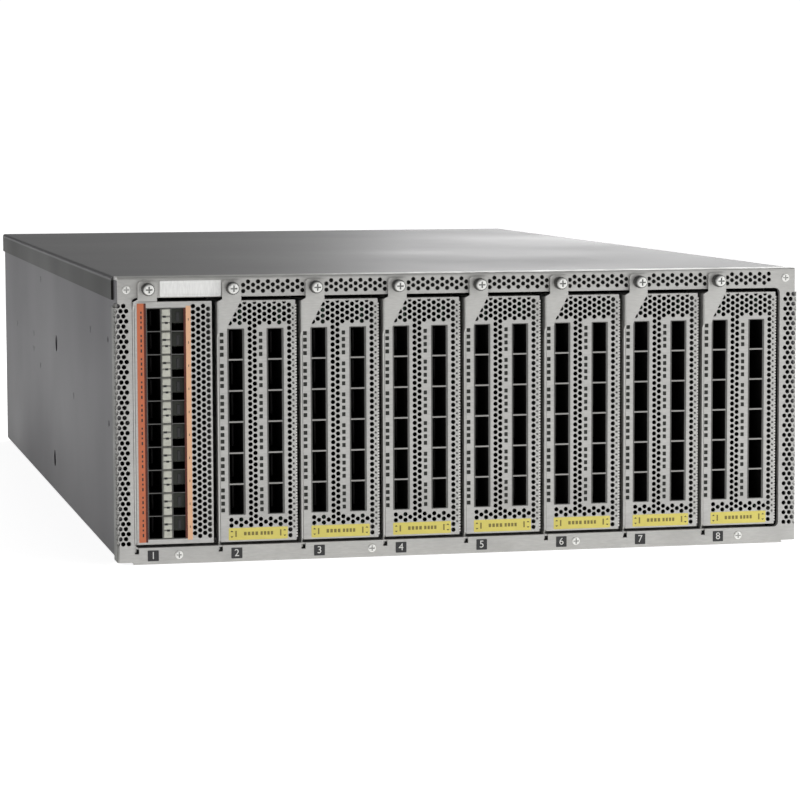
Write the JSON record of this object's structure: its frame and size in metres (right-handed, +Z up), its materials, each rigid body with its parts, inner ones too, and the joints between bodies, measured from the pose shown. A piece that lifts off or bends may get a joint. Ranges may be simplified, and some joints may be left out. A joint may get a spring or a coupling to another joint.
{
  "type": "modular chassis switch",
  "caption": "Rack-mount modular network switch chassis with vertical slide-in port modules, ejector levers, thumbscrews, rear power supplies and fan trays.",
  "frame": {"origin": "bottom centre of the bounding box", "axes": "+Z up, -Y out of the front with its line modules, +Y out of the rear with its power supplies and fans"},
  "size_m": [0.439, 0.799, 0.177],
  "materials": {
    "painted_body": "satin",
    "bright_steel": "satin",
    "panel_grey": "satin",
    "plain_steel": "satin",
    "circuit_board": "matte",
    "jack_shell": "satin",
    "cage_metal": "satin",
    "lever_steel": "satin",
    "screw_metal": "polished",
    "supply_steel": "satin",
    "latch_plastic": "satin",
    "fan_plastic": "matte"
  },
  "bodies": {
    "chassis": {"base_tray": "painted_body", "top_cover": "painted_body", "front_frame": "bright_steel", "badge_plate": "panel_grey", "lower_card_guide": "plain_steel", "upper_card_guide": "plain_steel", "midplane": "circuit_board", "rear_deck": "plain_steel", "rear_frame": "bright_steel", "main_board": "circuit_board", "power_board": "circuit_board", "mgmt_board": "jack_shell"},
    "module_1": {"module_1_carrier": "bright_steel", "module_1_ports": "cage_metal"},
    "lever_1": {"module_1_lever": "lever_steel"},
    "screw_1": {"module_1_screw": "screw_metal"},
    "module_2": {"module_2_carrier": "bright_steel", "module_2_ports": "cage_metal"},
    "lever_2": {"module_2_lever": "lever_steel"},
    "screw_2": {"module_2_screw": "screw_metal"},
    "module_3": {"module_3_carrier": "bright_steel", "module_3_ports": "cage_metal"},
    "lever_3": {"module_3_lever": "lever_steel"},
    "screw_3": {"module_3_screw": "screw_metal"},
    "module_4": {"module_4_carrier": "bright_steel", "module_4_ports": "cage_metal"},
    "lever_4": {"module_4_lever": "lever_steel"},
    "screw_4": {"module_4_screw": "screw_metal"},
    "module_5": {"module_5_carrier": "bright_steel", "module_5_ports": "cage_metal"},
    "lever_5": {"module_5_lever": "lever_steel"},
    "screw_5": {"module_5_screw": "screw_metal"},
    "module_6": {"module_6_carrier": "bright_steel", "module_6_ports": "cage_metal"},
    "lever_6": {"module_6_lever": "lever_steel"},
    "screw_6": {"module_6_screw": "screw_metal"},
    "module_7": {"module_7_carrier": "bright_steel", "module_7_ports": "cage_metal"},
    "lever_7": {"module_7_lever": "lever_steel"},
    "screw_7": {"module_7_screw": "screw_metal"},
    "module_8": {"module_8_carrier": "bright_steel", "module_8_ports": "cage_metal"},
    "lever_8": {"module_8_lever": "lever_steel"},
    "screw_8": {"module_8_screw": "screw_metal"},
    "psu_1": {"psu_1_body": "supply_steel", "psu_1_latch": "latch_plastic"},
    "psu_2": {"psu_2_body": "supply_steel", "psu_2_latch": "latch_plastic"},
    "psu_3": {"psu_3_body": "supply_steel", "psu_3_latch": "latch_plastic"},
    "psu_4": {"psu_4_body": "supply_steel", "psu_4_latch": "latch_plastic"},
    "fan_1": {"fan_1_tray": "supply_steel"},
    "rotor_1": {"fan_1_rotor": "fan_plastic"},
    "fan_2": {"fan_2_tray": "supply_steel"},
    "rotor_2": {"fan_2_rotor": "fan_plastic"},
    "fan_3": {"fan_3_tray": "supply_steel"},
    "rotor_3": {"fan_3_rotor": "fan_plastic"},
    "fan_4": {"fan_4_tray": "supply_steel"},
    "rotor_4": {"fan_4_rotor": "fan_plastic"}
  },
  "joints": [
    {"name": "module_1_slide", "type": "slide", "parent": "chassis", "child": "module_1", "axis": [0, -1, 0], "range_m": [0, 0.31]},
    {"name": "module_1_lever_turn", "type": "hinge", "parent": "module_1", "child": "lever_1", "pos_m": [-0.2083, -0.38, 0.018], "axis": [1, 0, 0], "range_deg": [0, 60]},
    {"name": "module_1_screw_turn", "type": "hinge", "parent": "lever_1", "child": "screw_1", "pos_m": [-0.1998, -0.394, 0.1698], "axis": [0, 1, 0], "continuous": true},
    {"name": "module_2_slide", "type": "slide", "parent": "chassis", "child": "module_2", "axis": [0, -1, 0], "range_m": [0, 0.31]},
    {"name": "module_2_lever_turn", "type": "hinge", "parent": "module_2", "child": "lever_2", "pos_m": [-0.15618, -0.38, 0.018], "axis": [1, 0, 0], "range_deg": [0, 60]},
    {"name": "module_2_screw_turn", "type": "hinge", "parent": "lever_2", "child": "screw_2", "pos_m": [-0.14768, -0.394, 0.1698], "axis": [0, 1, 0], "continuous": true},
    {"name": "module_3_slide", "type": "slide", "parent": "chassis", "child": "module_3", "axis": [0, -1, 0], "range_m": [0, 0.31]},
    {"name": "module_3_lever_turn", "type": "hinge", "parent": "module_3", "child": "lever_3", "pos_m": [-0.10406, -0.38, 0.018], "axis": [1, 0, 0], "range_deg": [0, 60]},
    {"name": "module_3_screw_turn", "type": "hinge", "parent": "lever_3", "child": "screw_3", "pos_m": [-0.09556, -0.394, 0.1698], "axis": [0, 1, 0], "continuous": true},
    {"name": "module_4_slide", "type": "slide", "parent": "chassis", "child": "module_4", "axis": [0, -1, 0], "range_m": [0, 0.31]},
    {"name": "module_4_lever_turn", "type": "hinge", "parent": "module_4", "child": "lever_4", "pos_m": [-0.05194, -0.38, 0.018], "axis": [1, 0, 0], "range_deg": [0, 60]},
    {"name": "module_4_screw_turn", "type": "hinge", "parent": "lever_4", "child": "screw_4", "pos_m": [-0.04344, -0.394, 0.1698], "axis": [0, 1, 0], "continuous": true},
    {"name": "module_5_slide", "type": "slide", "parent": "chassis", "child": "module_5", "axis": [0, -1, 0], "range_m": [0, 0.31]},
    {"name": "module_5_lever_turn", "type": "hinge", "parent": "module_5", "child": "lever_5", "pos_m": [0.00018, -0.38, 0.018], "axis": [1, 0, 0], "range_deg": [0, 60]},
    {"name": "module_5_screw_turn", "type": "hinge", "parent": "lever_5", "child": "screw_5", "pos_m": [0.00868, -0.394, 0.1698], "axis": [0, 1, 0], "continuous": true},
    {"name": "module_6_slide", "type": "slide", "parent": "chassis", "child": "module_6", "axis": [0, -1, 0], "range_m": [0, 0.31]},
    {"name": "module_6_lever_turn", "type": "hinge", "parent": "module_6", "child": "lever_6", "pos_m": [0.0523, -0.38, 0.018], "axis": [1, 0, 0], "range_deg": [0, 60]},
    {"name": "module_6_screw_turn", "type": "hinge", "parent": "lever_6", "child": "screw_6", "pos_m": [0.0608, -0.394, 0.1698], "axis": [0, 1, 0], "continuous": true},
    {"name": "module_7_slide", "type": "slide", "parent": "chassis", "child": "module_7", "axis": [0, -1, 0], "range_m": [0, 0.31]},
    {"name": "module_7_lever_turn", "type": "hinge", "parent": "module_7", "child": "lever_7", "pos_m": [0.10442, -0.38, 0.018], "axis": [1, 0, 0], "range_deg": [0, 60]},
    {"name": "module_7_screw_turn", "type": "hinge", "parent": "lever_7", "child": "screw_7", "pos_m": [0.11292, -0.394, 0.1698], "axis": [0, 1, 0], "continuous": true},
    {"name": "module_8_slide", "type": "slide", "parent": "chassis", "child": "module_8", "axis": [0, -1, 0], "range_m": [0, 0.31]},
    {"name": "module_8_lever_turn", "type": "hinge", "parent": "module_8", "child": "lever_8", "pos_m": [0.15654, -0.38, 0.018], "axis": [1, 0, 0], "range_deg": [0, 60]},
    {"name": "module_8_screw_turn", "type": "hinge", "parent": "lever_8", "child": "screw_8", "pos_m": [0.16504, -0.394, 0.1698], "axis": [0, 1, 0], "continuous": true},
    {"name": "psu_1_slide", "type": "slide", "parent": "chassis", "child": "psu_1", "axis": [0, 1, 0], "range_m": [0, 0.335]},
    {"name": "psu_2_slide", "type": "slide", "parent": "chassis", "child": "psu_2", "axis": [0, 1, 0], "range_m": [0, 0.335]},
    {"name": "psu_3_slide", "type": "slide", "parent": "chassis", "child": "psu_3", "axis": [0, 1, 0], "range_m": [0, 0.335]},
    {"name": "psu_4_slide", "type": "slide", "parent": "chassis", "child": "psu_4", "axis": [0, 1, 0], "range_m": [0, 0.335]},
    {"name": "fan_1_slide", "type": "slide", "parent": "chassis", "child": "fan_1", "axis": [0, 1, 0], "range_m": [0, 0.08]},
    {"name": "fan_1_spin", "type": "hinge", "parent": "fan_1", "child": "rotor_1", "pos_m": [-0.1186, 0.352, 0.118], "axis": [0, 1, 0], "continuous": true},
    {"name": "fan_2_slide", "type": "slide", "parent": "chassis", "child": "fan_2", "axis": [0, 1, 0], "range_m": [0, 0.08]},
    {"name": "fan_2_spin", "type": "hinge", "parent": "fan_2", "child": "rotor_2", "pos_m": [-0.025, 0.352, 0.118], "axis": [0, 1, 0], "continuous": true},
    {"name": "fan_3_slide", "type": "slide", "parent": "chassis", "child": "fan_3", "axis": [0, 1, 0], "range_m": [0, 0.08]},
    {"name": "fan_3_spin", "type": "hinge", "parent": "fan_3", "child": "rotor_3", "pos_m": [0.0686, 0.352, 0.118], "axis": [0, 1, 0], "continuous": true},
    {"name": "fan_4_slide", "type": "slide", "parent": "chassis", "child": "fan_4", "axis": [0, 1, 0], "range_m": [0, 0.08]},
    {"name": "fan_4_spin", "type": "hinge", "parent": "fan_4", "child": "rotor_4", "pos_m": [0.1622, 0.352, 0.118], "axis": [0, 1, 0], "continuous": true}
  ]
}
